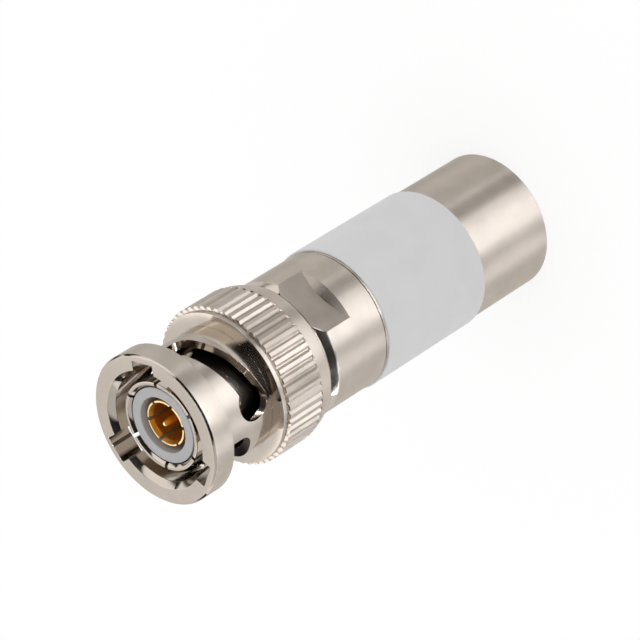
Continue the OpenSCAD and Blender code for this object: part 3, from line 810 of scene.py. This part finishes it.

# Load, springs and other hidden parts
# The resistor with its tinned caps and leads, its brass shield, the plastic bush and spacer, and the
# steel washers inside the nut lie out of sight and keep their plain shapes. The wave washers,
# which flatten against the outer contact's flange as the nut slides forward, get meshes of their own.
bush_cream = (0.72, 0.72, 0.68)
brass_tone = (0.72, 0.5, 0.22)
coat_brown = (0.32, 0.12, 0.06)
tin_tone = (0.62, 0.61, 0.58)
sleeve_tone = (0.015, 0.015, 0.016)
steel_tone = (0.5, 0.5, 0.5)
hidden = (
    (moulded("bush_plastic", bush_cream, roughness=0.45), ("insulator_bush", "rear_spacer")),
    (milky, ("shield_insulator",)),
    (turned_metal("shield_brass", brass_tone), ("inner_shield", "inner_shield_cap")),
    (moulded("resistor_coat", coat_brown, roughness=0.35), ("resistor_body",)),
    (turned_metal("tinned_metal", tin_tone), (
        "resistor_cap_front", "resistor_cap_rear", "resistor_lead_front", "resistor_lead_rear",
        "solder_joint")),
    (moulded("sleeve_black", sleeve_tone, roughness=0.45), ("resistor_sleeve",)),
    (turned_metal("washer_steel", steel_tone), (
        "wave_washer_front", "wave_washer_rear", "thrust_washer")),
)
for material, names in hidden:
    for name in names:
        nodes[name].material_slots[0].material = material

for name in ("wave_washer_front", "wave_washer_rear"):
    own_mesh(nodes[name])

# Coupling nut
# Turned and knurled from brass, with three inclined cam slots milled through the neck, each with an
# entry groove from the front and a round detent hole at its end. It is nickel plated all over.
ridges = 56
ridge_steps = 8
rim_r = 6.8
rim_len = 2.2
rim_bevel = 0.16
rim_edge = 0.03
mouth_r = 4.85
mouth_bevel = 0.5
mouth_edge = 0.04
neck_r = 5.62
land_r = 6.88
land_from_front = 8.1
land_len = 0.4
land_edge = 0.04
crest_r = 7.239
knurl_lead = 0.06
root_r = 7.05
knurl_end = 12.58
crown_from = 12.5
crown_lip = 0.04
band_r = 7.2
nut_len = front_z - nut_low.z / mm
rear_bevel = 0.2
flange_r = 4.25
flange_t = 0.75
crown_r = 6.5
crown_slope = radians(10)
crown_centre = Vector((band_r - crown_r * cos(crown_slope), -crown_from + crown_r * sin(crown_slope)))
crown_steps = 8
crown_start, crown_end = (
    asin((crown_centre.y - height) / crown_r) for height in (-knurl_end, rear_bevel - nut_len))
crown_angles = [crown_start + (crown_end - crown_start) * i / crown_steps for i in range(crown_steps + 1)]
crown = [(crown_centre.x + crown_r * cos(a), crown_centre.y - crown_r * sin(a)) for a in crown_angles]
knurl = [
    (crest_r, -land_from_front - land_len - knurl_lead),
    (crest_r, -crown_from + crown_lip),
    (band_r, -crown_from),
]
outline = eased([
    (mouth_r, -mouth_bevel, fine_edge),
    (mouth_r + mouth_bevel, 0, mouth_edge),
    (rim_r - rim_bevel, 0, rim_edge),
    (rim_r, -rim_bevel, rim_edge),
    (rim_r, -rim_len, fine_edge),
    (neck_r, -rim_len),
    (neck_r, -land_from_front),
    (land_r, -land_from_front, land_edge),
    (land_r, -land_from_front - land_len),
])
outline += knurl + crown + [
    (crown[-1][0] - rear_bevel, -nut_len),
    (flange_r, -nut_len),
    (flange_r, -nut_len + flange_t),
    (mouth_r, -nut_len + flange_t),
]
nut = turned("nut", [(r, front_z + z) for r, z in outline], ridges * ridge_steps)

pitch = 2 * pi / ridges
valley_turn = radians(2.41)
step_turns = (0, 0.06, 0.3, 0.4, 0.5)
step_rises = (0, 0, 1, 1, 1)
same_height = 0.005
for radius, height in knurl:
    for v in nut.data.vertices:
        if abs(v.co.z / mm - front_z - height) > same_height:
            continue
        if v.co.xy.length / mm < root_r:
            continue
        around = (atan2(v.co.y, v.co.x) % (2 * pi)) / pitch
        ridge, step = divmod(round(around * ridge_steps), ridge_steps)
        side = 1 if step <= ridge_steps / 2 else -1
        step = step if side == 1 else ridge_steps - step
        turn = (ridge + (side < 0)) * pitch + side * step_turns[step] * pitch + valley_turn
        reach = min(radius, root_r + (crest_r - root_r) * step_rises[step])
        v.co.xy = Vector((cos(turn), sin(turn))) * reach * mm

slot_count = 3
slot_w = 2.34
entry_depth = 6.12
entry_len = 4.46
slot_sweep = radians(81.2)
slot_rise = 2.02
detent_r = 1.57
detent_back = 0.32
entry_angle = radians(35)
cut_from = 4.2
cut_to = 8.2
cam_from = 2
cam_to = 10.12
hole_sides = 64


def round_hole(radius, height, turn, reach):
    """A bar across the wall, from inside the nut outwards."""
    bpy.ops.object.select_all(action="DESELECT")
    bpy.ops.mesh.primitive_cylinder_add(
        vertices=hole_sides, radius=radius * mm, depth=(reach - cut_from) * mm)
    made = bpy.context.object
    made.data.transform(
        Matrix.Rotation(turn, 4, "Z")
        @ Matrix.Translation(Vector(((reach + cut_from) / 2, 0, height)) * mm)
        @ Matrix.Rotation(pi / 2, 4, "Y"))
    return made


entry_end = front_z - entry_len
cam_run = 2 * neck_r * sin(slot_sweep / 2)
cam_tilt = atan2(slot_rise, cam_run)
cam_mid = entry_end - slot_rise / 2
half_run = cam_run / 2 / cos(cam_tilt)
for i in range(slot_count):
    turn = entry_angle + 2 * pi * i / slot_count
    groove = block((cut_from, -slot_w / 2, entry_end), (entry_depth, slot_w / 2, front_z + cut_clear), turn)
    cut_away(nut, groove)
    cut_away(nut, round_hole(slot_w / 2, entry_end, turn, entry_depth))
    cam = block((cam_from, -half_run, -slot_w / 2), (cam_to, half_run, slot_w / 2))
    cam.data.transform(
        Matrix.Rotation(turn - slot_sweep / 2, 4, "Z")
        @ Matrix.Translation((0, 0, cam_mid * mm))
        @ Matrix.Rotation(cam_tilt, 4, "X"))
    cut_away(nut, cam)
    cut_away(nut, round_hole(detent_r, entry_end - slot_rise + detent_back, turn - slot_sweep, cut_to))

knurl_from_r = rim_r + 0.06
polished_neck = (6, front_z - 6.7)
nut_nickel = turned_metal("nut_nickel", nickel_tone, crisp_from=knurl_from_r,
                          polished_corner=polished_neck)
finish_piece(nut, nut_nickel, "nut", "coupling_nut")
